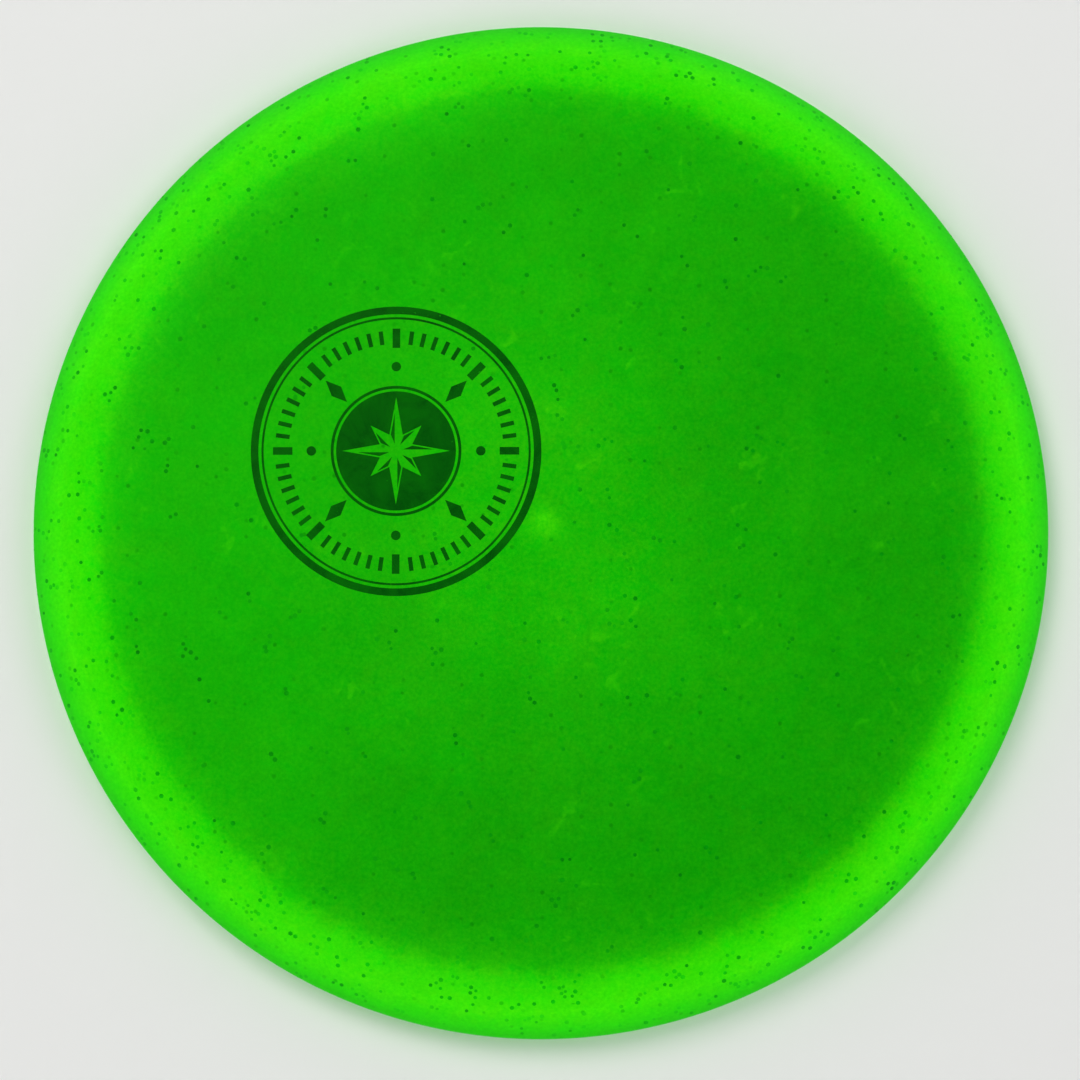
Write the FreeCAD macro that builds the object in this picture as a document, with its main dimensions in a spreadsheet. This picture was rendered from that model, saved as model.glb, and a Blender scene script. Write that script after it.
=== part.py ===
import FreeCAD, Part
import Sketcher
import math
import os
import random

# Midrange golf disc, 217 mm across.
#
# Frame: origin at the centre of the rim's resting plane, +Z up through the
# domed flight plate, +X and +Y in the resting plane.
#
# The body is one moulding, revolved about Z: a shallow dome, two shoulder
# arcs, a small round nose, a straight lower bevel, a flat foot 2 mm wide, a
# drafted inner wall, a corner fillet and the underside of the plate.
# The stamp is hot-transferred foil, 0.06 mm thick, that follows the dome.
# The flakes are hexagonal platelets mixed into the plastic; the ones modelled
# are those that lie flush with the upper surface.

V = FreeCAD.Vector
doc = FreeCAD.newDocument("flying_disc")

# ------------------------------------------------------------------ sizes ---
SIZES = [
    # moulding
    ("disc_radius", 108.5, "outer radius at the nose"),
    ("disc_height", 18.6, "resting plane to the top of the dome"),
    ("dome_rise", 1.2, "rise of the dome over dome_edge"),
    ("dome_edge", 84.6, "radius where dome and shoulder meet"),
    ("shoulder_arc", 60.0, "radius of the shoulder arc"),
    ("shoulder_end", 95.6, "radius where shoulder and rim arc meet"),
    ("nose_level", 7.8, "height of the nose centre"),
    ("nose_round", 1.6, "radius of the nose"),
    ("bevel_angle", 37.0, "lower bevel to the resting plane, degrees"),
    ("foot_outer_round", 1.5, "round between bevel and foot"),
    ("foot_inner_round", 0.8, "round between foot and inner wall"),
    ("inner_radius", 95.0, "inner wall, carried down to the resting plane"),
    ("wall_draft", 1.0, "draft of the inner wall, degrees"),
    ("corner_fillet", 3.0, "fillet between inner wall and underside"),
    ("plate_thickness", 2.1, "flight plate on the axis"),
    ("under_arc", 2600.0, "radius of the underside's dome"),
    ("under_edge", 80.0, "radius where the underside's dome ends"),
    ("under_shoulder_arc", 70.0, "radius of the underside's shoulder"),
    ("gate_x", 1.0, "gate vestige"),
    ("gate_y", 0.5, "gate vestige"),
    ("gate_radius", 2.1, "radius of the gate vestige"),
    ("gate_drop", 0.6, "gate vestige below the underside"),
    # foil
    ("foil_thickness", 0.06, "foil film"),
    ("foil_reach", 72.0, "radius of the foil layer before it is cut"),
    ("stamp_x", -30.6, "stamp centre"),
    ("stamp_y", 15.6, "stamp centre"),
    ("ring_outer", 30.7, "outer ring, outer radius"),
    ("ring_width", 1.6, "outer ring, width"),
    ("hair_outer", 28.45, "hairline ring, outer radius"),
    ("hair_width", 0.45, "hairline ring, width"),
    ("dial_minor_inner", 22.7, "short dash, inner end"),
    ("dial_minor_length", 2.9, "short dash"),
    ("dial_minor_width", 0.9, "short dash"),
    ("dial_major_inner", 21.9, "long dash, inner end"),
    ("dial_major_length", 4.1, "long dash"),
    ("dial_major_width", 1.6, "long dash"),
    ("dial_step", 6.0, "angle between dial positions, degrees"),
    ("mark_centre", 17.9, "side marks, distance from the stamp centre"),
    ("mark_length", 6.4, "lozenge, along the radius"),
    ("mark_width", 2.8, "lozenge, across"),
    ("dot_radius", 1.0, "dot"),
    ("badge_outer", 13.8, "badge border, outer radius"),
    ("badge_border", 0.6, "badge border, width"),
    ("badge_field", 12.65, "badge field, radius"),
    ("star_long", 11.4, "long star point, from the centre"),
    ("star_short", 7.6, "short star point, from the centre"),
    ("star_notch", 3.7, "notch between star points"),
    ("facet_gap", 0.3, "bare line round a star facet"),
    # flakes
    ("flake_size", 0.95, "across the corners of a flake"),
    ("flake_thickness", 0.08, "flake"),
    ("flake_proud", 0.02, "flake above the moulded surface"),
    ("flakes_in_rim", 220, "how many"),
    ("flakes_in_plate", 116, "how many"),
]

dims = doc.addObject("Spreadsheet::Sheet", "dims")
for row, (alias, value, note) in enumerate(SIZES, start=1):
    dims.set("A%d" % row, alias)
    dims.set("B%d" % row, repr(value))
    dims.set("C%d" % row, note)
    dims.setAlias("B%d" % row, alias)
doc.recompute()


def size(alias):
    return float(dims.get(alias))


def role_plane(body, role):
    for feature in body.Origin.OriginFeatures:
        if feature.Role == role:
            return feature
    raise ValueError(role)


def new_body(name):
    body = doc.addObject("PartDesign::Body", name)
    body.Label = name
    if "AllowCompound" in body.PropertiesList:
        body.AllowCompound = True
    return body


def new_sketch(body, name, role):
    sketch = body.newObject("Sketcher::SketchObject", name)
    sketch.AttachmentSupport = [(role_plane(body, role), "")]
    sketch.MapMode = "FlatFace"
    return sketch


def bind(sketch, constraint, name, expression):
    index = sketch.addConstraint(constraint)
    sketch.renameConstraint(index, name)
    sketch.setExpression("Constraints.%s" % name, expression)
    return index


# ------------------------------------------------- the section, closed form ---
class Section:
    """Centres, radii and corner points of the revolved section, (r, z)."""

    def __init__(self):
        h, rise, edge = size("disc_height"), size("dome_rise"), size("dome_edge")
        self.dome_r = (edge ** 2 + rise ** 2) / (2 * rise)
        self.dome_c = (0.0, h - self.dome_r)
        a0 = math.asin(edge / self.dome_r)
        self.p_top = (0.0, h)
        self.p_edge = (edge, h - rise)

        self.sh_r = size("shoulder_arc")
        self.sh_c = (edge - self.sh_r * math.sin(a0), h - rise - self.sh_r * math.cos(a0))
        a1 = math.asin((size("shoulder_end") - self.sh_c[0]) / self.sh_r)
        n1 = (math.sin(a1), math.cos(a1))
        self.p_split = (self.sh_c[0] + self.sh_r * n1[0], self.sh_c[1] + self.sh_r * n1[1])

        self.nose_r = size("nose_round")
        self.nose_c = (size("disc_radius") - self.nose_r, size("nose_level"))
        d = (self.nose_c[0] - self.p_split[0], self.nose_c[1] - self.p_split[1])
        self.rim_r = ((self.nose_r ** 2 - d[0] ** 2 - d[1] ** 2)
                      / (2 * (d[0] * n1[0] + d[1] * n1[1] + self.nose_r)))
        self.rim_c = (self.p_split[0] - self.rim_r * n1[0], self.p_split[1] - self.rim_r * n1[1])
        u = (self.nose_c[0] - self.rim_c[0], self.nose_c[1] - self.rim_c[1])
        ul = math.hypot(*u)
        self.p_nose_top = (self.rim_c[0] + self.rim_r * u[0] / ul,
                           self.rim_c[1] + self.rim_r * u[1] / ul)

        b = math.radians(size("bevel_angle"))
        self.p_nose_low = (self.nose_c[0] + self.nose_r * math.sin(b),
                           self.nose_c[1] - self.nose_r * math.cos(b))
        self.fo_r = size("foot_outer_round")
        z4 = self.fo_r * (1 - math.cos(b))
        self.p_bevel_low = (self.p_nose_low[0] - (self.p_nose_low[1] - z4) / math.tan(b), z4)
        self.fo_c = (self.p_bevel_low[0] - self.fo_r * math.sin(b), self.fo_r)
        self.p_foot_out = (self.fo_c[0], 0.0)

        dr = math.radians(size("wall_draft"))
        self.fi_r = size("foot_inner_round")
        r_in = size("inner_radius")
        rfi = r_in - self.fi_r * (1 - math.sin(dr)) * math.tan(dr) + self.fi_r * math.cos(dr)
        self.fi_c = (rfi, self.fi_r)
        self.p_foot_in = (rfi, 0.0)
        self.p_wall_low = (rfi - self.fi_r * math.cos(dr), self.fi_r * (1 - math.sin(dr)))

        zu = h - size("plate_thickness")
        self.p_under = (0.0, zu)
        self.u1_r = size("under_arc")
        self.u1_c = (0.0, zu - self.u1_r)
        ue = size("under_edge")
        au = math.asin(ue / self.u1_r)
        self.p_u1 = (ue, self.u1_c[1] + self.u1_r * math.cos(au))
        self.u2_r = size("under_shoulder_arc")
        self.u2_c = (ue - self.u2_r * math.sin(au), self.p_u1[1] - self.u2_r * math.cos(au))
        self.cf_r = size("corner_fillet")
        # fillet centre: cf_r from the drafted wall, u2_r - cf_r from the arc centre
        k = r_in * math.cos(dr) - self.cf_r
        c, s = math.cos(dr), math.sin(dr)
        # x = (k - z s)/c ; (x-ux)^2 + (z-uz)^2 = (u2_r-cf_r)^2
        ux, uz = self.u2_c
        p, q = k / c - ux, s / c
        A = q * q + 1
        B = -2 * (p * q + uz)
        C = p * p + uz * uz - (self.u2_r - self.cf_r) ** 2
        z = (-B + math.sqrt(B * B - 4 * A * C)) / (2 * A)
        self.cf_c = ((k - z * s) / c, z)
        self.p_wall_top = (self.cf_c[0] + self.cf_r * c, self.cf_c[1] + self.cf_r * s)
        w = (self.cf_c[0] - ux, self.cf_c[1] - uz)
        wl = math.hypot(*w)
        self.p_u2 = (ux + self.u2_r * w[0] / wl, uz + self.u2_r * w[1] / wl)

    def top(self, r):
        """Height and outward normal angle (from +Z) of the upper surface at r."""
        for c, rad, end in ((self.dome_c, self.dome_r, self.p_edge[0]),
                            (self.sh_c, self.sh_r, self.p_split[0]),
                            (self.rim_c, self.rim_r, self.p_nose_top[0]),
                            (self.nose_c, self.nose_r, size("disc_radius"))):
            if r <= end:
                a = math.asin((r - c[0]) / rad)
                return c[1] + rad * math.cos(a), a
        raise ValueError(r)


sec = Section()


def v2(p):
    return V(p[0], p[1], 0)


def arc(centre, radius, first, last):
    """Arc run counter-clockwise from first to last."""
    a = math.atan2(first[1] - centre[1], first[0] - centre[0])
    b = math.atan2(last[1] - centre[1], last[0] - centre[0])
    return Part.ArcOfCircle(Part.Circle(v2(centre), V(0, 0, 1), radius), a, b)


# --------------------------------------------------------------- moulding ---
disc_body = new_body("disc_body")
sk = new_sketch(disc_body, "section", "XZ_Plane")
START, END, CENTRE = 1, 2, 3
geo = [
    Part.LineSegment(v2(sec.p_under), v2(sec.p_top)),                      # 0 axis
    arc(sec.dome_c, sec.dome_r, sec.p_edge, sec.p_top),                    # 1 dome
    arc(sec.sh_c, sec.sh_r, sec.p_split, sec.p_edge),                      # 2 shoulder
    arc(sec.rim_c, sec.rim_r, sec.p_nose_top, sec.p_split),                # 3 rim arc
    arc(sec.nose_c, sec.nose_r, sec.p_nose_low, sec.p_nose_top),           # 4 nose
    Part.LineSegment(v2(sec.p_bevel_low), v2(sec.p_nose_low)),             # 5 bevel
    arc(sec.fo_c, sec.fo_r, sec.p_foot_out, sec.p_bevel_low),              # 6 foot, outer
    Part.LineSegment(v2(sec.p_foot_in), v2(sec.p_foot_out)),               # 7 foot
    arc(sec.fi_c, sec.fi_r, sec.p_wall_low, sec.p_foot_in),                # 8 foot, inner
    Part.LineSegment(v2(sec.p_wall_low), v2(sec.p_wall_top)),              # 9 inner wall
    arc(sec.cf_c, sec.cf_r, sec.p_wall_top, sec.p_u2),                     # 10 corner
    arc(sec.u2_c, sec.u2_r, sec.p_u2, sec.p_u1),                           # 11 underside shoulder
    arc(sec.u1_c, sec.u1_r, sec.p_u1, sec.p_under),                        # 12 underside dome
]
sk.addGeometry(geo, False)
C = Sketcher.Constraint
sk.addConstraint([
    C("PointOnObject", 0, START, -2),
    C("PointOnObject", 0, END, -2),
    C("Coincident", 0, END, 1, END),
    C("Coincident", 0, START, 12, END),
    C("PointOnObject", 1, CENTRE, -2),
    C("PointOnObject", 12, CENTRE, -2),
    C("Tangent", 1, START, 2, END),
    C("Tangent", 2, START, 3, END),
    C("Tangent", 3, START, 4, END),
    C("Tangent", 4, START, 5, END),
    C("Tangent", 5, START, 6, END),
    C("Tangent", 6, START, 7, END),
    C("Tangent", 7, START, 8, END),
    C("Tangent", 8, START, 9, START),
    C("Tangent", 9, END, 10, START),
    C("Tangent", 10, END, 11, START),
    C("Tangent", 11, END, 12, START),
    C("PointOnObject", 7, START, -1),
    C("PointOnObject", 7, END, -1),
])
bind(sk, C("DistanceY", -1, 1, 0, END, size("disc_height")), "height", "dims.disc_height")
bind(sk, C("DistanceX", -1, 1, 1, START, sec.p_edge[0]), "dome_edge", "dims.dome_edge")
bind(sk, C("DistanceY", -1, 1, 1, START, sec.p_edge[1]), "dome_edge_level",
     "dims.disc_height - dims.dome_rise")
bind(sk, C("Radius", 2, sec.sh_r), "shoulder", "dims.shoulder_arc")
bind(sk, C("DistanceX", -1, 1, 2, START, sec.p_split[0]), "shoulder_end", "dims.shoulder_end")
bind(sk, C("Radius", 4, sec.nose_r), "nose", "dims.nose_round")
bind(sk, C("DistanceX", -1, 1, 4, CENTRE, sec.nose_c[0]), "nose_reach",
     "dims.disc_radius - dims.nose_round")
bind(sk, C("DistanceY", -1, 1, 4, CENTRE, sec.nose_c[1]), "nose_level", "dims.nose_level")
bind(sk, C("Angle", 5, math.radians(size("bevel_angle"))), "bevel", "dims.bevel_angle")
bind(sk, C("Radius", 6, sec.fo_r), "foot_outer", "dims.foot_outer_round")
bind(sk, C("Radius", 8, sec.fi_r), "foot_inner", "dims.foot_inner_round")
bind(sk, C("Angle", 9, math.radians(90 + size("wall_draft"))), "draft", "90 + dims.wall_draft")
bind(sk, C("DistanceX", -1, 1, 9, START, sec.p_wall_low[0]), "wall_reach",
     "dims.inner_radius - dims.foot_inner_round * (1 - sin(dims.wall_draft * 1 deg))"
     " * tan(dims.wall_draft * 1 deg)")
bind(sk, C("Radius", 10, sec.cf_r), "corner", "dims.corner_fillet")
bind(sk, C("Radius", 11, sec.u2_r), "under_shoulder", "dims.under_shoulder_arc")
bind(sk, C("DistanceX", -1, 1, 11, END, sec.p_u1[0]), "under_edge", "dims.under_edge")
bind(sk, C("Radius", 12, sec.u1_r), "under_dome", "dims.under_arc")
bind(sk, C("DistanceY", 0, START, 0, END, size("plate_thickness")), "plate",
     "dims.plate_thickness")
doc.recompute()

revolve = disc_body.newObject("PartDesign::Revolution", "moulding")
revolve.Profile = sk
revolve.ReferenceAxis = (sk, ["V_Axis"])
revolve.Angle = 360.0
sk.Visibility = False
doc.recompute()

# Gate vestige: a low round stub under the plate.
gate_sk = new_sketch(disc_body, "gate_circle", "XY_Plane")
gate_sk.AttachmentOffset = FreeCAD.Placement(
    V(0, 0, size("disc_height") - size("plate_thickness") - size("gate_drop")), FreeCAD.Rotation())
gate_sk.setExpression(".AttachmentOffset.Base.z",
                      "dims.disc_height - dims.plate_thickness - dims.gate_drop")
gate_sk.addGeometry([Part.Circle(V(size("gate_x"), size("gate_y"), 0), V(0, 0, 1),
                                 size("gate_radius"))], False)
bind(gate_sk, C("Radius", 0, size("gate_radius")), "gate", "dims.gate_radius")
bind(gate_sk, C("DistanceX", -1, 1, 0, CENTRE, size("gate_x")), "gate_x", "dims.gate_x")
bind(gate_sk, C("DistanceY", -1, 1, 0, CENTRE, size("gate_y")), "gate_y", "dims.gate_y")
gate = disc_body.newObject("PartDesign::Pad", "gate_vestige")
gate.Profile = gate_sk
gate.Length = size("gate_drop") + 0.8
gate.setExpression("Length", "dims.gate_drop + 0.8")
gate_sk.Visibility = False
disc_body.Tip = gate
doc.recompute()

# ------------------------------------------------------------------- foil ---
# One thin layer over the dome; every island is this layer inside an upright
# prism, so the film follows the dome and has one thickness.
foil_layer = new_body("foil_layer")
fs = new_sketch(foil_layer, "foil_section", "XZ_Plane")
R0, R1 = sec.dome_r, sec.dome_r + size("foil_thickness")
reach = size("foil_reach")
z0 = sec.dome_c[1]
pi = (reach, z0 + math.sqrt(R0 ** 2 - reach ** 2))
po = (reach, z0 + math.sqrt(R1 ** 2 - reach ** 2))
fs.addGeometry([
    Part.LineSegment(V(0, z0 + R0, 0), V(0, z0 + R1, 0)),       # 0 axis
    arc(sec.dome_c, R1, po, (0, z0 + R1)),                      # 1 outer face
    Part.LineSegment(v2(pi), v2(po)),                           # 2 edge
    arc(sec.dome_c, R0, pi, (0, z0 + R0)),                      # 3 inner face
], False)
fs.addConstraint([
    C("PointOnObject", 0, START, -2),
    C("PointOnObject", 0, END, -2),
    C("Coincident", 0, END, 1, END),
    C("Coincident", 0, START, 3, END),
    C("Coincident", 1, START, 2, END),
    C("Coincident", 3, START, 2, START),
    C("PointOnObject", 1, CENTRE, -2),
    C("Coincident", 1, CENTRE, 3, CENTRE),
    C("Vertical", 2),
])
DOME = "((dims.dome_edge^2 + dims.dome_rise^2) / (2 * dims.dome_rise))"
bind(fs, C("DistanceY", -1, 1, 0, START, size("disc_height")), "level", "dims.disc_height")
bind(fs, C("Radius", 3, R0), "dome", DOME)
bind(fs, C("DistanceY", 0, START, 0, END, size("foil_thickness")), "film", "dims.foil_thickness")
bind(fs, C("DistanceX", -1, 1, 2, START, reach), "reach", "dims.foil_reach")
doc.recompute()
layer = foil_layer.newObject("PartDesign::Revolution", "film")
layer.Profile = fs
layer.ReferenceAxis = (fs, ["V_Axis"])
layer.Angle = 360.0
fs.Visibility = False
doc.recompute()

PRISM_LOW, PRISM_TALL = 15.0, 8.0


def at_stamp(obj):
    obj.Placement = FreeCAD.Placement(V(size("stamp_x"), size("stamp_y"), PRISM_LOW),
                                      FreeCAD.Rotation())
    obj.setExpression(".Placement.Base.x", "dims.stamp_x")
    obj.setExpression(".Placement.Base.y", "dims.stamp_y")


def prism_cylinder(name, radius_expression):
    cyl = doc.addObject("Part::Cylinder", name)
    cyl.Label = name
    cyl.Height = PRISM_TALL
    cyl.setExpression("Radius", radius_expression)
    at_stamp(cyl)
    return cyl


def island(name, prism):
    common = doc.addObject("Part::Common", name)
    common.Label = name
    common.Base = prism
    common.Tool = foil_layer
    return common


def ring(name, outer, inner):
    cut = doc.addObject("Part::Cut", name + "_prism")
    cut.Label = name + "_prism"
    cut.Base = prism_cylinder(name + "_outer", outer)
    cut.Tool = prism_cylinder(name + "_inner", inner)
    return island(name, cut)


def closed_polygon(sketch, points):
    first = sketch.GeometryCount
    n = len(points)
    for i in range(n):
        a, b = points[i], points[(i + 1) % n]
        sketch.addGeometry(Part.LineSegment(V(a[0], a[1], 0), V(b[0], b[1], 0)), False)
    for i in range(n):
        sketch.addConstraint(C("Coincident", first + i, END, first + (i + 1) % n, START))
    return first


def at(sketch, edge, name, x, y, ex, ey):
    """Place the first point of an edge with two bound distances."""
    for tag, kind, value, expr in (("x", "DistanceX", x, ex), ("y", "DistanceY", y, ey)):
        if abs(value) < 1e-9:
            sketch.addConstraint(C("PointOnObject", edge, START, -2 if tag == "x" else -1))
        elif value > 0:
            bind(sketch, C(kind, -1, 1, edge, START, value), name + tag, expr)
        else:
            bind(sketch, C(kind, edge, START, -1, 1, -value), name + tag, "-(" + expr + ")")


def polar(body, feature, count, name):
    pattern = body.newObject("PartDesign::PolarPattern", name)
    pattern.Originals = [feature]
    axis = [f for f in body.Origin.OriginFeatures if f.Role == "Z_Axis"][0]
    pattern.Axis = (axis, [""])
    pattern.Angle = 360.0
    pattern.Occurrences = count
    body.Tip = pattern
    return pattern


def pad(body, sketch, name):
    feature = body.newObject("PartDesign::Pad", name)
    feature.Profile = sketch
    feature.Length = PRISM_TALL
    sketch.Visibility = False
    body.Tip = feature
    return feature


def bar_prism(name, inner, length, width, turn):
    """Bar along the local radius, turned about the stamp centre."""
    body = new_body(name + "_prism")
    at_stamp(body)
    s = new_sketch(body, name + "_bar", "XY_Plane")
    s.AttachmentOffset = FreeCAD.Placement(V(0, 0, 0), FreeCAD.Rotation(V(0, 0, 1), turn))
    a, l, w = size(inner), size(length), size(width)
    closed_polygon(s, [(a, -w / 2), (a + l, -w / 2), (a + l, w / 2), (a, w / 2)])
    s.addConstraint([C("Horizontal", 0), C("Vertical", 1), C("Horizontal", 2),
                     C("Symmetric", 0, START, 2, END, -1)])
    bind(s, C("DistanceX", -1, 1, 0, START, a), "inner", "dims." + inner)
    bind(s, C("DistanceX", 0, START, 0, END, l), "length", "dims." + length)
    bind(s, C("DistanceY", 1, START, 1, END, w), "width", "dims." + width)
    return body, pad(body, s, name + "_pad")


stamp_outer_ring = ring("stamp_outer_ring", "dims.ring_outer", "dims.ring_outer - dims.ring_width")
stamp_inner_ring = ring("stamp_inner_ring", "dims.hair_outer", "dims.hair_outer - dims.hair_width")
stamp_badge_border = ring("stamp_badge_border", "dims.badge_outer",
                          "dims.badge_outer - dims.badge_border")

# Dial: a long dash every 45 degrees and short dashes between, none beside a
# long one closer than one step.
major_body, major_pad = bar_prism("stamp_dial_major", "dial_major_inner", "dial_major_length",
                                  "dial_major_width", 0.0)
polar(major_body, major_pad, 8, "major_pattern")
stamp_dial_major = island("stamp_dial_major", major_body)

minor_parts = []
for k in range(1, 7):
    turn = 22.5 + (k - 3.5) * size("dial_step")
    b, f = bar_prism("stamp_dial_minor_%d" % k, "dial_minor_inner", "dial_minor_length",
                     "dial_minor_width", turn)
    polar(b, f, 8, "minor_pattern_%d" % k)
    minor_parts.append(b)
minor_prisms = doc.addObject("Part::MultiFuse", "stamp_dial_minor_prisms")
minor_prisms.Label = "stamp_dial_minor_prisms"
minor_prisms.Shapes = minor_parts
stamp_dial_minor = island("stamp_dial_minor", minor_prisms)

# Side marks: four lozenges on the diagonals, four dots between them.
lozenge_body = new_body("lozenge_prism")
at_stamp(lozenge_body)
ls = new_sketch(lozenge_body, "lozenge", "XY_Plane")
ls.AttachmentOffset = FreeCAD.Placement(V(0, 0, 0), FreeCAD.Rotation(V(0, 0, 1), 45.0))
mc, ml, mw = size("mark_centre"), size("mark_length"), size("mark_width")
closed_polygon(ls, [(mc - ml / 2, 0), (mc, -mw / 2), (mc + ml / 2, 0), (mc, mw / 2)])
ls.addConstraint([C("PointOnObject", 0, START, -1), C("PointOnObject", 2, START, -1),
                  C("Symmetric", 1, START, 3, START, -1)])
bind(ls, C("DistanceX", -1, 1, 0, START, mc - ml / 2), "near",
     "dims.mark_centre - dims.mark_length / 2")
bind(ls, C("DistanceX", -1, 1, 2, START, mc + ml / 2), "far",
     "dims.mark_centre + dims.mark_length / 2")
bind(ls, C("DistanceX", -1, 1, 1, START, mc), "waist", "dims.mark_centre")
bind(ls, C("DistanceY", 1, START, 3, START, mw), "across", "dims.mark_width")
polar(lozenge_body, pad(lozenge_body, ls, "lozenge_pad"), 4, "lozenge_pattern")

dot_body = new_body("dot_prism")
at_stamp(dot_body)
ds = new_sketch(dot_body, "dot", "XY_Plane")
ds.addGeometry([Part.Circle(V(mc, 0, 0), V(0, 0, 1), size("dot_radius"))], False)
ds.addConstraint(C("PointOnObject", 0, CENTRE, -1))
bind(ds, C("DistanceX", -1, 1, 0, CENTRE, mc), "reach", "dims.mark_centre")
bind(ds, C("Radius", 0, size("dot_radius")), "round", "dims.dot_radius")
polar(dot_body, pad(dot_body, ds, "dot_pad"), 4, "dot_pattern")

mark_prisms = doc.addObject("Part::MultiFuse", "stamp_side_mark_prisms")
mark_prisms.Label = "stamp_side_mark_prisms"
mark_prisms.Shapes = [lozenge_body, dot_body]
stamp_side_marks = island("stamp_side_marks", mark_prisms)

# Badge field: a round field with an eight-pointed star left bare.
star_body = new_body("star_prism")
at_stamp(star_body)
ss = new_sketch(star_body, "star", "XY_Plane")
sl, sh, sn = size("star_long"), size("star_short"), size("star_notch")
star_points, star_names = [], []
for i in range(16):
    a = math.radians(22.5 * i)
    if i % 4 == 0:
        rr, nm = sl, "star_long"
    elif i % 4 == 2:
        rr, nm = sh, "star_short"
    else:
        rr, nm = sn, "star_notch"
    star_points.append((rr * math.cos(a), rr * math.sin(a)))
    star_names.append(nm)
closed_polygon(ss, star_points)
for i, (p, nm) in enumerate(zip(star_points, star_names)):
    at(ss, i, "p%d" % i, p[0], p[1], "dims.%s * cos(%.1f deg)" % (nm, 22.5 * i),
       "dims.%s * sin(%.1f deg)" % (nm, 22.5 * i))
pad(star_body, ss, "star_pad")

field = doc.addObject("Part::Cut", "stamp_badge_field_prism")
field.Label = "stamp_badge_field_prism"
field.Base = prism_cylinder("badge_disc", "dims.badge_field")
field.Tool = star_body
stamp_badge_field = island("stamp_badge_field", field)


# Star facets: one half of each star point, with a bare line all round.
def inset(triangle, gap):
    """The triangle with each side moved in by gap (triangle counter-clockwise)."""
    lines = []
    for i in range(3):
        (x1, y1), (x2, y2) = triangle[i], triangle[(i + 1) % 3]
        length = math.hypot(x2 - x1, y2 - y1)
        nx, ny = -(y2 - y1) / length, (x2 - x1) / length
        lines.append((nx, ny, nx * x1 + ny * y1 + gap))
    out = []
    for i in range(3):
        a1, b1, c1 = lines[i - 1]
        a2, b2, c2 = lines[i]
        det = a1 * b2 - a2 * b1
        out.append(((c1 * b2 - c2 * b1) / det, (a1 * c2 - a2 * c1) / det))
    return out


def facet_feature(name, tip):
    """Four facets: half a star point on each quarter, cut from the film."""
    turn = 0.0 if tip == "star_long" else 45.0
    solids = []
    for q in range(4):
        a = math.radians(turn + 90.0 * q)
        n = math.radians(turn + 90.0 * q + 22.5)
        tri = inset([(0.0, 0.0), (size(tip) * math.cos(a), size(tip) * math.sin(a)),
                     (size("star_notch") * math.cos(n), size("star_notch") * math.sin(n))],
                    size("facet_gap"))
        pts = [V(x, y, 0) for x, y in tri]
        face = Part.Face(Part.makePolygon(pts + [pts[0]]))
        solids.append(face.extrude(V(0, 0, PRISM_TALL)))
    feature = doc.addObject("Part::Feature", name)
    feature.Label = name
    feature.Shape = Part.makeCompound(solids)
    at_stamp(feature)
    return feature


facet_prisms = doc.addObject("Part::Compound", "stamp_star_facet_prisms")
facet_prisms.Label = "stamp_star_facet_prisms"
facet_prisms.Links = [facet_feature("long_facets", "star_long"),
                      facet_feature("short_facets", "star_short")]
stamp_star_facets = island("stamp_star_facets", facet_prisms)
doc.recompute()

# ----------------------------------------------------------------- flakes ---
rng = random.Random(20417)


def flake(r, azimuth, spin, scale):
    """Hexagonal platelet let into the upper surface at radius r."""
    z, a = sec.top(r)
    half = 0.5 * size("flake_size") * scale
    pts = [V(half * math.cos(math.radians(60 * k)), half * math.sin(math.radians(60 * k)), 0)
           for k in range(6)]
    solid = Part.Face(Part.makePolygon(pts + [pts[0]])).extrude(V(0, 0, size("flake_thickness")))
    drop = size("flake_proud") - size("flake_thickness")
    turn = FreeCAD.Rotation(V(0, 0, 1), math.degrees(azimuth)).multiply(
        FreeCAD.Rotation(V(0, 1, 0), math.degrees(a))).multiply(
        FreeCAD.Rotation(V(0, 0, 1), math.degrees(spin)))
    base = V(r * math.cos(azimuth), r * math.sin(azimuth), z)
    out = turn.multVec(V(0, 0, 1)).multiply(drop)
    solid.Placement = FreeCAD.Placement(base.add(out), turn)
    return solid


def scatter(name, count, draw_radius, taken, clear_stamp):
    solids = []
    seed = None
    while len(solids) < int(count):
        near = seed is not None and rng.random() < 0.30
        if near:
            # a neighbour: flakes clump in pairs and small groups
            away, turn = rng.uniform(1.15, 2.0), rng.uniform(0, 2 * math.pi)
            x, y = seed[0] + away * math.cos(turn), seed[1] + away * math.sin(turn)
            r, az = math.hypot(x, y), math.atan2(y, x)
            lo, hi = draw_radius(None)
            if not lo < r < hi:
                continue
        else:
            r, az = draw_radius(rng), rng.uniform(0, 2 * math.pi)
            x, y = r * math.cos(az), r * math.sin(az)
        if any((x - u) ** 2 + (y - v) ** 2 < 1.15 ** 2 for u, v in taken):
            continue
        if clear_stamp and math.hypot(x - size("stamp_x"), y - size("stamp_y")) \
                < size("ring_outer") + 0.5:
            continue
        taken.append((x, y))
        if not near:
            seed = (x, y)
        solids.append(flake(r, az, rng.uniform(0, math.pi / 3), rng.uniform(0.75, 1.15)))
    feature = doc.addObject("Part::Feature", name)
    feature.Label = name
    feature.Shape = Part.makeCompound(solids)
    return feature


RIM_BANDS = [(89.0, 93.3, 0.010), (93.3, 97.6, 0.029), (97.6, 102.0, 0.075),
             (102.0, 105.8, 0.056), (105.8, 107.6, 0.045)]


def rim_radius(gen):
    if gen is None:
        return RIM_BANDS[0][0], RIM_BANDS[-1][1]
    weights = [d * (b * b - a * a) for a, b, d in RIM_BANDS]
    pick = gen.uniform(0, sum(weights))
    for (a, b, _), w in zip(RIM_BANDS, weights):
        if pick <= w:
            return math.sqrt(gen.uniform(a * a, b * b))
        pick -= w
    return 100.0


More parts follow.
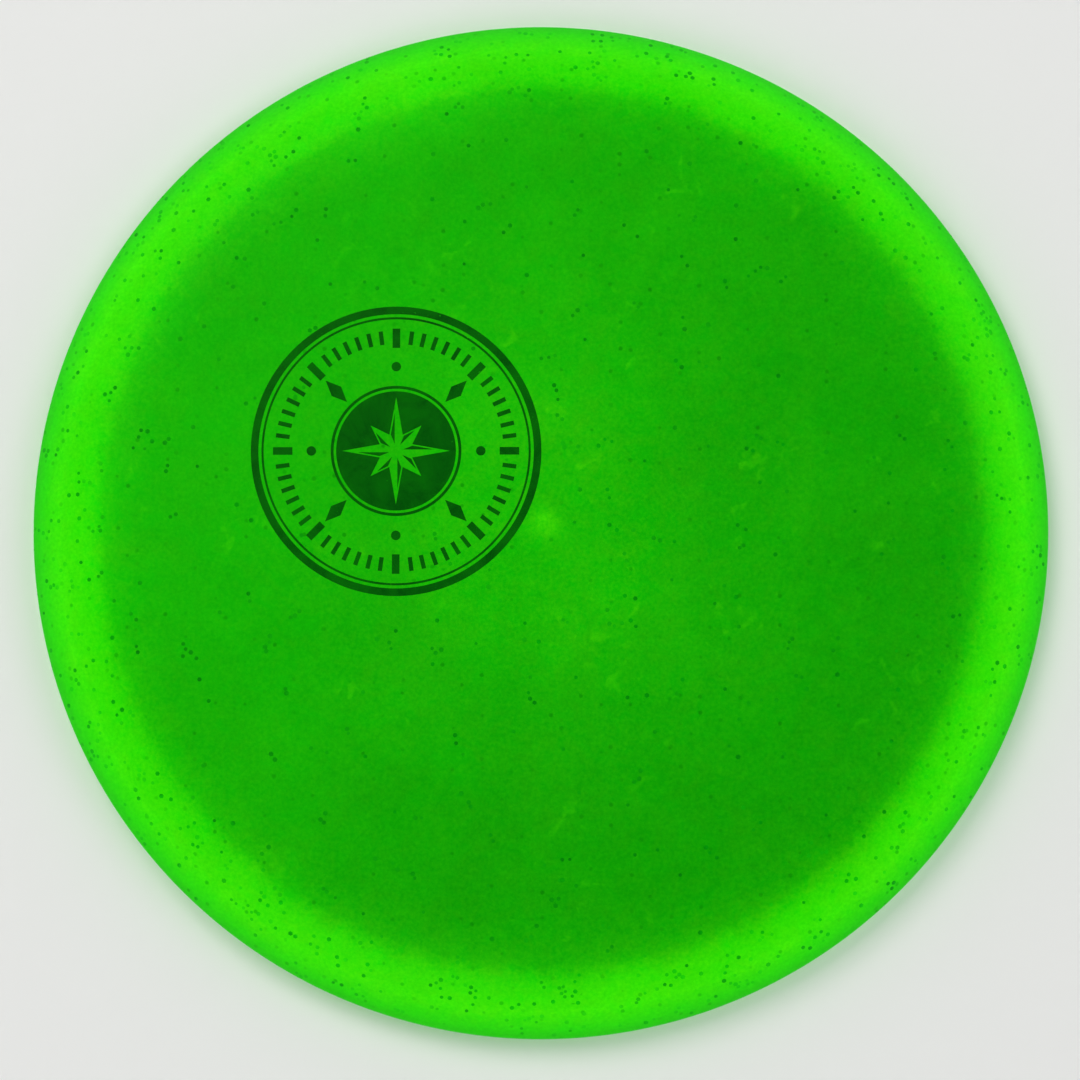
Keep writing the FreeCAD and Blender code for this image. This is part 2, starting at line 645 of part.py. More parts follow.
def plate_radius(gen):
    if gen is None:
        return 2.0, 88.5
    return math.sqrt(gen.uniform(4.0, 88.5 ** 2))


taken = []
flakes_rim = scatter("flakes_rim", size("flakes_in_rim"), rim_radius, taken, False)
flakes_plate = scatter("flakes_plate", size("flakes_in_plate"), plate_radius, taken, True)

# ----------------------------------------------------------------- output ---
doc.recompute()
NODES = [disc_body, stamp_outer_ring, stamp_inner_ring, stamp_dial_major, stamp_dial_minor,
         stamp_side_marks, stamp_badge_border, stamp_badge_field, stamp_star_facets,
         flakes_rim, flakes_plate]

for obj in doc.Objects:
    bad = [s for s in obj.State if s in ("Invalid", "Error")]
    if bad:
        raise RuntimeError("%s is %s" % (obj.Label, bad))
for sketch in (sk, fs, gate_sk, ls, ds, ss):
    if not sketch.FullyConstrained:
        raise RuntimeError("%s is not fully constrained" % sketch.Label)
for node in NODES:
    shape = node.Shape
    if shape.isNull() or not shape.isValid() or not shape.Solids:
        raise RuntimeError("%s has no valid solid" % node.Label)

os.makedirs("parts", exist_ok=True)
for node in NODES:
    node.Shape.exportStep("parts/%s.step" % node.Label)
    box = node.Shape.BoundBox
    print("%-20s solids %4d  volume %10.3f mm3  x %.2f..%.2f  y %.2f..%.2f  z %.3f..%.3f" % (
        node.Label, len(node.Shape.Solids), node.Shape.Volume,
        box.XMin, box.XMax, box.YMin, box.YMax, box.ZMin, box.ZMax))
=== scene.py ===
import bpy
import math
import random
from mathutils import Matrix, Vector, kdtree
from mathutils.bvhtree import BVHTree


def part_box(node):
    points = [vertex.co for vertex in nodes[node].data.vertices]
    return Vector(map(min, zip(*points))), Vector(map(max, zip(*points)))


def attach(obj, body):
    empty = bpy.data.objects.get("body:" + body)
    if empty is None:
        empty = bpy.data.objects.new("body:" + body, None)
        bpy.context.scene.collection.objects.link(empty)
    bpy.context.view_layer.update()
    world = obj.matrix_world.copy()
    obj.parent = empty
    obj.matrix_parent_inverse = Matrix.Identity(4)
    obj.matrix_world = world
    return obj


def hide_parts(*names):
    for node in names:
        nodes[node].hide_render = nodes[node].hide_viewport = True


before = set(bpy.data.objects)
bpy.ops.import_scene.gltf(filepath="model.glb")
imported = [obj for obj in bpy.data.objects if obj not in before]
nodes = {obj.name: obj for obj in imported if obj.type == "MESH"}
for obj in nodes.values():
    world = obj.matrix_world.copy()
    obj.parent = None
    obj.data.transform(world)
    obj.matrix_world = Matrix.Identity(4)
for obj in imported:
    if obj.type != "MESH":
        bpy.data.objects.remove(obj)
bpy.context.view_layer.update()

MM = 0.001
lo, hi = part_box("disc_body")
R_OUT = hi.x                      # outer radius
H_TOP = hi.z                      # top of the dome

# ------------------------------------------------------------------ section
# The moulding's section in millimetres, the same arcs as the CAD body.
H, RISE, EDGE = H_TOP / MM, 1.2, 84.6
R = R_OUT / MM
SH_R, SPLIT = 60.0, 95.6
NOSE_Z, NOSE_R = 7.8, 1.6
BEVEL = math.radians(37.0)
FO_R, FI_R = 1.5, 0.8
R_IN, DRAFT = 95.0, math.radians(1.0)
CF_R = 3.0
PLATE = 2.1
U1_R, U_EDGE, U2_R = 2600.0, 80.0, 70.0
GATE = (1.0, 0.5, 2.1, 0.6)       # x, y, radius, drop
STAMP = (-30.6, 15.6, 30.7)      # x, y, radius


def section():
    """Points (r, z) in mm from the top of the dome round to the underside's
    centre, with the outward normal at each."""
    pts = []

    def add_arc(c, rad, a0, a1, n, sign=1.0, first=False):
        # angles from +Z towards +r; the normal is sign times the radius direction
        for i in range(0 if first else 1, n + 1):
            a = a0 + (a1 - a0) * i / n
            s, k = math.sin(a), math.cos(a)
            pts.append((c[0] + rad * s, c[1] + rad * k, sign * s, sign * k))

    def add_line(p, q, n, nr, nz):
        for i in range(1, n + 1):
            t = i / n
            pts.append((p[0] + (q[0] - p[0]) * t, p[1] + (q[1] - p[1]) * t, nr, nz))

    rd = (EDGE ** 2 + RISE ** 2) / (2 * RISE)
    cd = (0.0, H - rd)
    a0 = math.asin(EDGE / rd)
    add_arc(cd, rd, 0.0, a0, 26, first=True)
    cs = (EDGE - SH_R * math.sin(a0), H - RISE - SH_R * math.cos(a0))
    a1 = math.asin((SPLIT - cs[0]) / SH_R)
    add_arc(cs, SH_R, a0, a1, 12)
    ps = (cs[0] + SH_R * math.sin(a1), cs[1] + SH_R * math.cos(a1))
    cn = (R - NOSE_R, NOSE_Z)
    d = (cn[0] - ps[0], cn[1] - ps[1])
    n1 = (math.sin(a1), math.cos(a1))
    rr = (NOSE_R ** 2 - d[0] ** 2 - d[1] ** 2) / (2 * (d[0] * n1[0] + d[1] * n1[1] + NOSE_R))
    cr = (ps[0] - rr * n1[0], ps[1] - rr * n1[1])
    a2 = math.atan2(cn[0] - cr[0], cn[1] - cr[1])
    add_arc(cr, rr, a1, a2, 24)
    a3 = math.pi - BEVEL
    add_arc(cn, NOSE_R, a2, a3, 22)
    pl = (cn[0] + NOSE_R * math.sin(a3), cn[1] + NOSE_R * math.cos(a3))
    z4 = FO_R * (1 - math.cos(BEVEL))
    pb = (pl[0] - (pl[1] - z4) / math.tan(BEVEL), z4)
    add_line(pl, pb, 12, math.sin(a3), math.cos(a3))
    co = (pb[0] - FO_R * math.sin(BEVEL), FO_R)
    add_arc(co, FO_R, a3, math.pi, 6)
    rfi = R_IN - FI_R * (1 - math.sin(DRAFT)) * math.tan(DRAFT) + FI_R * math.cos(DRAFT)
    add_line((co[0], 0.0), (rfi, 0.0), 3, 0.0, -1.0)
    ci = (rfi, FI_R)
    add_arc(ci, FI_R, math.pi, 1.5 * math.pi - DRAFT, 6)
    wl = (rfi - FI_R * math.cos(DRAFT), FI_R * (1 - math.sin(DRAFT)))
    zu = H - PLATE
    c1 = (0.0, zu - U1_R)
    au = math.asin(U_EDGE / U1_R)
    p1 = (U_EDGE, c1[1] + U1_R * math.cos(au))
    c2 = (U_EDGE - U2_R * math.sin(au), p1[1] - U2_R * math.cos(au))
    k = R_IN * math.cos(DRAFT) - CF_R
    c, s = math.cos(DRAFT), math.sin(DRAFT)
    p, q = k / c - c2[0], s / c
    A, B = q * q + 1, -2 * (p * q + c2[1])
    C = p * p + c2[1] ** 2 - (U2_R - CF_R) ** 2
    z = (-B + math.sqrt(B * B - 4 * A * C)) / (2 * A)
    cf = ((k - z * s) / c, z)
    wt = (cf[0] + CF_R * c, cf[1] + CF_R * s)
    add_line(wl, wt, 10, -math.cos(DRAFT), -math.sin(DRAFT))
    w = math.atan2(cf[0] - c2[0], cf[1] - c2[1])
    add_arc(cf, CF_R, math.pi / 2 - DRAFT, w, 12, sign=-1.0)
    add_arc(c2, U2_R, w, au, 10, sign=-1.0)
    add_arc(c1, U1_R, au, 0.0, 22, sign=-1.0)
    return pts


PROFILE = section()


def lathe(name, points, segments):
    """Closed mesh turned about Z from (r, z) points in mm; ends on the axis."""
    verts, faces = [], []
    rings = []
    for r, z in points:
        if r < 1e-6:
            rings.append(len(verts))
            verts.append((0.0, 0.0, z * MM))
        else:
            base = len(verts)
            for j in range(segments):
                a = 2 * math.pi * j / segments
                verts.append((r * MM * math.cos(a), r * MM * math.sin(a), z * MM))
            rings.append(range(base, base + segments))
    for u, v in zip(rings[:-1], rings[1:]):
        for j in range(segments):
            k = (j + 1) % segments
            if isinstance(u, int):
                faces.append((u, v[j], v[k]))
            elif isinstance(v, int):
                faces.append((u[j], v, u[k]))
            else:
                faces.append((u[j], v[j], v[k], u[k]))
    me = bpy.data.meshes.new(name)
    me.from_pydata(verts, [], faces)
    me.validate()
    me.shade_smooth()
    ob = bpy.data.objects.new(name, me)
    bpy.context.scene.collection.objects.link(ob)
    return ob


def shaped_profile():
    """The section with the mould's parting line in it."""
    out = []
    for r, z, nr, nz in PROFILE:
        out.append((r, z))
    fine = []
    for i, (r, z) in enumerate(out):
        fine.append((r, z))
    # parting line: a 0.05 mm flash ridge just under the nose
    a = math.pi - BEVEL - 0.30
    cn = (R - NOSE_R, NOSE_Z)
    marked = []
    for (r, z) in fine:
        ang = math.atan2(r - cn[0], z - cn[1])
        near = abs(math.hypot(r - cn[0], z - cn[1]) - NOSE_R) < 1e-3 and ang > 1.2
        marked.append((r, z, near, ang))
    ridge = []
    done = False
    for (r, z, near, ang) in marked:
        if near and not done and ang >= a:
            for off, up in ((-0.05, 0.0), (-0.025, 0.035), (0.0, 0.05), (0.025, 0.035), (0.05, 0.0)):
                b = a + off
                ridge.append((cn[0] + (NOSE_R + up) * math.sin(b), cn[1] + (NOSE_R + up) * math.cos(b)))
            done = True
            if ang < a + 0.06:
                continue
        if near and abs(ang - a) < 0.055:
            continue
        ridge.append((r, z))
    return ridge


disc = lathe("disc_shell", shaped_profile(), 384)

# The trimmed injection point under the plate: a low stub with a turned-down
# edge and a slightly dished, rough-cut face.
gx, gy, gr, gd = GATE
z_seat = H - PLATE + 0.02
z_face = H - PLATE - gd
stub_pts = [(0.0, z_face + 0.10), (0.35, z_face + 0.10), (0.55, z_face + 0.02), (1.2, z_face + 0.04),
            (1.75, z_face + 0.03), (1.95, z_face + 0.06), (2.05, z_face + 0.14), (2.09, z_face + 0.26),
            (gr, z_face + 0.38), (gr + 0.05, z_seat - 0.12), (gr + 0.2, z_seat - 0.03),
            (gr + 0.4, z_seat + 0.01), (gr + 0.4, z_seat + 0.30), (0.0, z_seat + 0.30)]
stub_pts.reverse()
stub = lathe("gate_stub", stub_pts, 64)
stub.data.transform(Matrix.Translation((gx * MM, gy * MM, 0.0)))

# ------------------------------------------------------------------ flakes
rng = random.Random(9173)
cad_flakes = [v.co.copy() for n in ("flakes_rim", "flakes_plate") for v in nodes[n].data.vertices]
tree = kdtree.KDTree(len(cad_flakes))
for i, co in enumerate(cad_flakes):
    tree.insert(co, i)
tree.balance()

foil_verts, foil_faces = [], []
for n in nodes:
    if n.startswith("stamp_"):
        me = nodes[n].data
        first = len(foil_verts)
        foil_verts += [v.co.copy() for v in me.vertices]
        foil_faces += [[first + i for i in f.vertices] for f in me.polygons]
foil_tree = BVHTree.FromPolygons(foil_verts, foil_faces)

# cumulative area along the section, for even scatter
SPANS, ALONG = [], []
reach = 0.0
for (r0, z0, nr0, nz0), (r1, z1, nr1, nz1) in zip(PROFILE[:-1], PROFILE[1:]):
    length = math.hypot(r1 - r0, z1 - z0)
    SPANS.append((length * math.pi * (r0 + r1), (r0, z0, nr0, nz0), (r1, z1, nr1, nz1)))
    ALONG.append((reach, length, (r0, z0, nr0, nz0), (r1, z1, nr1, nz1)))
    reach += length


def zone_of(r, nr, nz):
    if nz > 0.05 or (nr > 0.9 and nz > -0.2):
        return "plate" if r < 89.0 else "rim"
    if r > 95.0:
        return "bevel"
    return "wall" if nr < -0.3 else "under"


def density(r, zone):
    """Flakes to a square millimetre."""
    if zone == "plate":
        return 0.0052 if r > 15 else 0.008
    if zone == "rim":
        return 0.010 if r < 93.3 else 0.022 if r < 97.6 else 0.046 if r < 105.8 else 0.05
    if zone == "bevel":
        return 0.045
    if zone == "wall":
        return 0.02
    return 0.007


def hex_plate(verts, faces, base, normal, spin, half, thick, proud):
    z = normal.normalized()
    x = z.orthogonal().normalized()
    y = z.cross(x)
    first = len(verts)
    for level in (proud - thick, proud):
        for k in range(6):
            a = spin + k * math.pi / 3
            verts.append(base + (x * math.cos(a) + y * math.sin(a)) * half + z * level)
    faces.append([first + k for k in range(5, -1, -1)])
    faces.append([first + 6 + k for k in range(6)])
    for k in range(6):
        m = (k + 1) % 6
        faces.append([first + k, first + m, first + 6 + m, first + 6 + k])


def on_section(at):
    """Point and normal at a distance in mm along the section."""
    for start, length, p, q in ALONG:
        if at <= start + length:
            t = (at - start) / length if length > 1e-9 else 0.0
            return [p[i] + (q[i] - p[i]) * t for i in range(4)]
    return list(ALONG[-1][3])


def scatter(name, zones, share, small, large):
    """Platelets let into the surface over the named zones; share scales the
    density, small and large are the size across corners in mm."""
    bands, total = [], 0.0
    for (area, p, q), (start, length, _, _) in zip(SPANS, ALONG):
        zone = zone_of(0.5 * (p[0] + q[0]), 0.5 * (p[2] + q[2]), 0.5 * (p[3] + q[3]))
        if zone in zones:
            total += area * density(0.5 * (p[0] + q[0]), zone) * share
            bands.append((total, start, length))
    verts, faces, taken = [], [], []
    seed, want, tries = None, int(total), 0
    while len(taken) < want and tries < 20 * want:
        tries += 1
        if seed is not None and rng.random() < 0.32:
            # a clump: neighbours within a couple of millimetres
            away, turn = rng.uniform(0.85, 1.8), rng.uniform(0, 2 * math.pi)
            at = seed[0] + away * math.cos(turn)
            az = seed[1] + away * math.sin(turn) / max(seed[2], 3.0)
        else:
            pick = rng.uniform(0, total)
            _, start, length = next(b for b in bands if pick <= b[0])
            at, az = start + length * rng.random(), rng.uniform(0, 2 * math.pi)
            seed = None
        r, z, nr, nz = on_section(at)
        if zone_of(r, nr, nz) not in zones or r < 1.0 or abs(z) < 0.35 or r > R - 0.12:
            continue
        x, y = r * math.cos(az), r * math.sin(az)
        if nz < 0 and math.hypot(x - gx, y - gy) < 3.2:
            continue
        base = Vector((x, y, z)) * MM
        near = tree.find(base)
        if near[2] is not None and near[2] < 0.62 * MM:
            continue
        if nz > 0 and foil_tree.find_nearest(base)[3] < 0.65 * MM:
            continue
        if any((base - o).length_squared < (0.80 * MM) ** 2 for o in taken):
            continue
        taken.append(base)
        if seed is None:
            seed = (at, az, r)
        n = Vector((nr * math.cos(az), nr * math.sin(az), nz))
        half = 0.5 * rng.uniform(small, large) * MM
        if r > R - 0.45:
            half = min(half, 0.27 * MM)     # small ones only on the tight nose round
        hex_plate(verts, faces, base, n, rng.uniform(0, 1.0), half, 0.05 * MM, 0.014 * MM)
    me = bpy.data.meshes.new(name)
    me.from_pydata(verts, [], faces)
    ob = bpy.data.objects.new(name, me)
    bpy.context.scene.collection.objects.link(ob)
    return ob


flakes_rim_mid = scatter("flakes_rim_mid", ("rim",), 0.46, 0.72, 1.12)
flakes_rim_soft = scatter("flakes_rim_soft", ("rim",), 0.50, 0.68, 1.10)
flakes_plate_mid = scatter("flakes_plate_mid", ("plate",), 0.75, 0.74, 1.12)
flakes_plate_soft = scatter("flakes_plate_soft", ("plate",), 0.80, 0.72, 1.15)
flakes_low_dark = scatter("flakes_low_dark", ("bevel", "wall", "under"), 0.50, 0.70, 1.10)
flakes_low_soft = scatter("flakes_low_soft", ("bevel", "wall", "under"), 0.60, 0.65, 1.10)


# --------------------------------------------------------------- materials
class Net:
    """Small helper for building node trees."""

    def __init__(self, name):
        self.mat = bpy.data.materials.new(name)
        self.mat.use_nodes = True
        self.nt = self.mat.node_tree
        self.nt.nodes.clear()
        self.out = self.nt.nodes.new("ShaderNodeOutputMaterial")
        self.p = self.nt.nodes.new("ShaderNodeBsdfPrincipled")
        self.nt.links.new(self.p.outputs[0], self.out.inputs["Surface"])

    def node(self, kind, **values):
        n = self.nt.nodes.new(kind)
        for k, v in values.items():
            setattr(n, k, v)
        return n

    def link(self, a, b):
        self.nt.links.new(a, b)

    def put(self, socket, value):
        if isinstance(value, bpy.types.NodeSocket):
            self.link(value, socket)
        else:
            socket.default_value = value

    def math(self, op, a, b=0.0, c=0.0, clamp=False):
        n = self.node("ShaderNodeMath", operation=op, use_clamp=clamp)
        for i, v in enumerate((a, b, c)):
            if i < len(n.inputs):
                self.put(n.inputs[i], v)
        return n.outputs[0]

    def noise(self, vec, scale, detail=3.0, rough=0.5, distort=0.0):
        n = self.node("ShaderNodeTexNoise")
        n.inputs["Scale"].default_value = scale
        n.inputs["Detail"].default_value = detail
        n.inputs["Roughness"].default_value = rough
        n.inputs["Distortion"].default_value = distort
        self.link(vec, n.inputs["Vector"])
        return n.outputs["Fac"]

    def voronoi(self, vec, scale, feature="F1", randomness=1.0):
        n = self.node("ShaderNodeTexVoronoi", feature=feature)
        n.inputs["Scale"].default_value = scale
        n.inputs["Randomness"].default_value = randomness
        self.link(vec, n.inputs["Vector"])
        return n

    def map(self, value, a, b, c, d, smooth=False):
        n = self.node("ShaderNodeMapRange")
        if smooth:
            n.interpolation_type = "SMOOTHSTEP"
        self.link(value, n.inputs["Value"])
        for key, v in zip(("From Min", "From Max", "To Min", "To Max"), (a, b, c, d)):
            n.inputs[key].default_value = v
        return n.outputs["Result"]

    def ramp(self, value, stops, mode="LINEAR"):
        n = self.node("ShaderNodeValToRGB")
        n.color_ramp.interpolation = mode
        e = n.color_ramp.elements
        while len(e) > 1:
            e.remove(e[0])
        e[0].position, e[0].color = stops[0][0], (*stops[0][1], 1.0)
        for pos, col in stops[1:]:
            k = e.new(pos)
            k.color = (*col, 1.0)
        self.link(value, n.inputs["Fac"])
        return n.outputs["Color"]

    def scale_colour(self, colour, factor):
        n = self.node("ShaderNodeVectorMath", operation="SCALE")
        self.link(colour, n.inputs[0])
        self.put(n.inputs["Scale"], factor)
        return n.outputs["Vector"]

    def mix(self, fac, a, b, blend="MIX"):
        n = self.node("ShaderNodeMix", data_type="RGBA", blend_type=blend)
        self.put(n.inputs["Factor"], fac)
        for s, v in (("A", a), ("B", b)):
            sock = [i for i in n.inputs if i.name == s and i.type == "RGBA"][0]
            self.put(sock, v)
        return [o for o in n.outputs if o.type == "RGBA"][0]

    def bump(self, height, strength, distance, normal=None):
        n = self.node("ShaderNodeBump")
        n.inputs["Strength"].default_value = strength
        n.inputs["Distance"].default_value = distance
        self.link(height, n.inputs["Height"])
        if normal is not None:
            self.link(normal, n.inputs["Normal"])
        return n.outputs["Normal"]


# Glow of the plastic by distance from the axis, linear light. The thick rim
# stores and gives most; the plate is dim; the middle is a little brighter.
GLOW = [
    (0.000, (0.0110, 0.3700, 0.0002)),
    (0.060, (0.0076, 0.2950, 0.0002)),
    (0.180, (0.0078, 0.2980, 0.0002)),
    (0.250, (0.0066, 0.2780, 0.0002)),
    (0.330, (0.0048, 0.2450, 0.0002)),
    (0.450, (0.0044, 0.2340, 0.0002)),
    (0.600, (0.0032, 0.2270, 0.0002)),
    (0.720, (0.0032, 0.2250, 0.0002)),
    (0.780, (0.0038, 0.2390, 0.0002)),
    (0.820, (0.0058, 0.2680, 0.0002)),
    (0.850, (0.0066, 0.2990, 0.0002)),
    (0.870, (0.0150, 0.4020, 0.0002)),
    (0.890, (0.0185, 0.4760, 0.0002)),
    (0.910, (0.0234, 0.4980, 0.0002)),
    (0.930, (0.0283, 0.5150, 0.0002)),
    (0.945, (0.0315, 0.5480, 0.0002)),
    (0.960, (0.0240, 0.5030, 0.0002)),
    (0.980, (0.0110, 0.4400, 0.0002)),
    (1.000, (0.0040, 0.3000, 0.0002)),
]
BODY_TINT = [
    (0.00, (0.0040, 0.175, 0.0008)),
    (0.82, (0.0035, 0.160, 0.0008)),
    (0.86, (0.0060, 0.200, 0.0008)),
    (0.92, (0.0110, 0.270, 0.0010)),
    (1.00, (0.0110, 0.270, 0.0012)),
]


def axis_distance(net, tc, wander):
    """Distance from the axis, and the same over the outer radius. The step
    from plate to rim wanders a little round the disc."""
    flat = net.node("ShaderNodeVectorMath", operation="MULTIPLY")
    net.link(tc, flat.inputs[0])
    flat.inputs[1].default_value = (1.0, 1.0, 0.0)
    length = net.node("ShaderNodeVectorMath", operation="LENGTH")
    net.link(flat.outputs[0], length.inputs[0])
    radius = length.outputs["Value"]
    shifted = radius
    if wander:
        slow = net.math("MULTIPLY", net.math("SUBTRACT", net.noise(tc, 55.0, 2.0), 0.5), 0.0018)
        quick = net.math("MULTIPLY", net.math("SUBTRACT", net.noise(tc, 230.0, 3.0, 0.6), 0.5), 0.0016)
        sway = net.math("MULTIPLY", net.math("ADD", slow, quick),
                        net.map(radius, 0.0975, 0.1035, 1.0, 0.15, smooth=True))
        shifted = net.math("ADD", radius, sway)
    return radius, net.math("DIVIDE", shifted, R_OUT, clamp=True)


def green_gloss(net):
    """Highlights take the plastic's own colour, so the glow stays clean."""
    net.p.inputs["Specular IOR Level"].default_value = 0.12
    net.p.inputs["Specular Tint"].default_value = (0.22, 1.0, 0.12, 1.0)


def blob(net, sep, x, y, rad, gain):
    """Soft round patch centred at x, y (mm) in the plastic."""
    dx = net.math("SUBTRACT", sep.outputs["X"], x * MM)
    dy = net.math("SUBTRACT", sep.outputs["Y"], y * MM)
    d2 = net.math("ADD", net.math("MULTIPLY", dx, dx), net.math("MULTIPLY", dy, dy))
    return net.math("MULTIPLY", net.math("EXPONENT", net.math("DIVIDE", d2, -(rad * MM) ** 2)), gain)


def glow_plastic(name):
    net = Net(name)
    tc = net.node("ShaderNodeTexCoord").outputs["Object"]
    sep = net.node("ShaderNodeSeparateXYZ")
    net.link(tc, sep.inputs[0])
    radius, r_rel = axis_distance(net, tc, True)
    glow = net.ramp(r_rel, GLOW)
    tint = net.ramp(r_rel, BODY_TINT)
    in_rim = net.map(r_rel, 0.84, 0.92, 0.0, 1.0, smooth=True)

    # cloudy mottle: wide patches, feathered patches, small clots, fine grain
    wide = net.math("SUBTRACT", net.noise(tc, 30.0, 2.0, 0.55, 0.6), 0.5)
    mid = net.math("SUBTRACT", net.noise(tc, 95.0, 4.0, 0.62, 1.1), 0.5)
    small = net.math("SUBTRACT", net.noise(tc, 330.0, 3.0, 0.6, 0.6), 0.5)
    fine = net.math("SUBTRACT", net.noise(tc, 1250.0, 2.0, 0.6), 0.5)
    broad = net.math("ADD", net.math("MULTIPLY", wide, 0.29), net.math("MULTIPLY", mid, 0.17))
    close = net.math("ADD", net.math("MULTIPLY", small, 0.19), net.math("MULTIPLY", fine, 0.34))
    calm = net.math("SUBTRACT", 1.0, net.math("MULTIPLY", in_rim, 0.50))
    calm2 = net.math("SUBTRACT", 1.0, net.math("MULTIPLY", in_rim, 0.30))
    cloud = net.math("ADD", net.math("MULTIPLY", broad, calm), net.math("MULTIPLY", close, calm2))
    # painted glow: the emitted glow, and the base colour with it, is a little brighter towards -X +Y
    lean = net.math("ADD", net.math("MULTIPLY", sep.outputs["X"], -0.82 / R_OUT),
                    net.math("MULTIPLY", sep.outputs["Y"], 0.57 / R_OUT))
    lean = net.math("MULTIPLY", lean, net.math("SUBTRACT", 0.19, net.math("MULTIPLY", in_rim, 0.18)))
    # thicker spots of the melt, and the sprue
    gain = net.math("ADD", cloud, lean)
    clot = net.map(net.noise(tc, 620.0, 2.0, 0.6), 0.30, 0.66, 0.45, 1.35)
    sprue = net.math("MULTIPLY", blob(net, sep, GATE[0], GATE[1], 2.5, 1.0), clot)
    gain = net.math("ADD", gain, net.math("MULTIPLY", sprue, 0.24))
    for x, y, rad, g in ((12.0, -17.0, 13.0, 0.06),
                         (26.0, -30.0, 11.0, 0.05), (-24.0, 30.0, 22.0, 0.05),
                         (-44.0, -14.0, 24.0, 0.04), (46.0, 12.0, 26.0, -0.04),
                         (20.0, -62.0, 24.0, -0.03), (-18.0, -52.0, 7.0, 0.06)):
        gain = net.math("ADD", gain, blob(net, sep, x, y, rad, g))
    # unmelted wisps: short feathered streaks, brighter and yellower
    wisp = net.map(net.noise(tc, 190.0, 2.0, 0.55, 0.7), 0.60, 0.74, 0.0, 1.0, smooth=True)
    here = net.map(net.noise(tc, 42.0, 1.0, 0.5), 0.48, 0.62, 0.0, 1.0, smooth=True)
    wisp = net.math("MULTIPLY", net.math("MULTIPLY", wisp, here), calm)
    wisp = net.math("MULTIPLY", wisp, net.map(r_rel, 0.78, 0.86, 1.0, 0.30, smooth=True))
    gain = net.math("ADD", net.math("ADD", gain, net.math("MULTIPLY", wisp, 0.17)), 1.0)

    # flakes deeper in the plastic: soft round shadows, each its own strength
    vor = net.voronoi(tc, 480.0)
    pick = net.node("ShaderNodeSeparateColor")
    net.link(vor.outputs["Color"], pick.inputs[0])
    chosen = net.math("LESS_THAN", pick.outputs[0], net.map(r_rel, 0.80, 0.93, 0.15, 0.26))
    spot = net.map(vor.outputs["Distance"], 0.13, 0.30, 1.0, 0.0, smooth=True)
    depth = net.map(pick.outputs[1], 0.0, 1.0, 0.08, 0.32)
    shadow = net.math("MULTIPLY", net.math("MULTIPLY", spot, chosen), depth)
    gain = net.math("MULTIPLY", gain, net.math("SUBTRACT", 1.0, shadow))

    # the yellow part of the glow wanders on its own, and flakes swallow it first
    hue = net.math("SUBTRACT", net.noise(tc, 260.0, 4.0, 0.65, 0.8), 0.5)
    hue2 = net.math("SUBTRACT", net.noise(tc, 62.0, 3.0, 0.6, 0.8), 0.5)
    warm = net.math("ADD", net.math("MULTIPLY", hue, 3.8), net.math("MULTIPLY", hue2, 3.0))
    warm = net.math("ADD", warm, net.math("MULTIPLY", fine, 3.8))
    warm = net.math("MULTIPLY", warm, net.math("SUBTRACT", 1.0, net.math("MULTIPLY", in_rim, 0.62)))
    warm = net.math("ADD", net.math("ADD", warm, 1.0), net.math("MULTIPLY", wisp, 2.0))
    warm = net.math("ADD", warm, net.math("MULTIPLY", sprue, 1.9))
    warm = net.math("MULTIPLY", warm, net.math("SUBTRACT", 1.0, net.math("MULTIPLY", shadow, 1.9)))
    warm = net.math("MAXIMUM", warm, 0.12)

    parts = net.node("ShaderNodeSeparateColor")
    net.link(glow, parts.inputs[0])
    shine = net.node("ShaderNodeCombineColor")
    net.link(net.math("MULTIPLY", net.math("MULTIPLY", parts.outputs[0], gain), warm), shine.inputs[0])
    net.link(net.math("MULTIPLY", parts.outputs[1], gain), shine.inputs[1])
    net.link(parts.outputs[2], shine.inputs[2])
    net.link(shine.outputs[0], net.p.inputs["Emission Color"])
    net.p.inputs["Emission Strength"].default_value = 1.0
    net.link(net.scale_colour(tint, gain), net.p.inputs["Base Color"])

    # skin: satin, with fine orange peel, handling haze and hairline scuffs
    peel = net.noise(tc, 900.0, 3.0, 0.6)
    haze = net.noise(tc, 60.0, 4.0, 0.6)
    scr = net.node("ShaderNodeMapping")
    scr.inputs["Rotation"].default_value = (0.0, 0.0, 0.7)
    scr.inputs["Scale"].default_value = (2600.0, 90.0, 300.0)
    net.link(tc, scr.inputs["Vector"])
    scuff = net.map(net.noise(scr.outputs[0], 1.0, 2.0, 0.5, 0.4), 0.68, 0.74, 0.0, 1.0, smooth=True)
    rough = net.math("ADD", net.map(haze, 0.3, 0.7, 0.33, 0.45), net.math("MULTIPLY", scuff, 0.12))
    net.link(rough, net.p.inputs["Roughness"])
    rings = net.math("SINE", net.math("MULTIPLY", radius, 2 * math.pi / (0.62 * MM)))
    low = net.map(sep.outputs["Z"], 0.0145, 0.0165, 1.0, 0.0)
    inner = net.map(radius, 0.0900, 0.0915, 1.0, 0.0)
    turned = net.math("MULTIPLY", rings, net.math("MULTIPLY", low, inner))
    height = net.math("ADD", net.math("MULTIPLY", peel, 1.0), net.math("MULTIPLY", turned, 0.16))
    height = net.math("SUBTRACT", height, net.math("MULTIPLY", scuff, 0.35))
    net.link(net.bump(height, 0.35, 0.00004), net.p.inputs["Normal"])
    green_gloss(net)
    net.p.inputs["IOR"].default_value = 1.5
    return net.mat


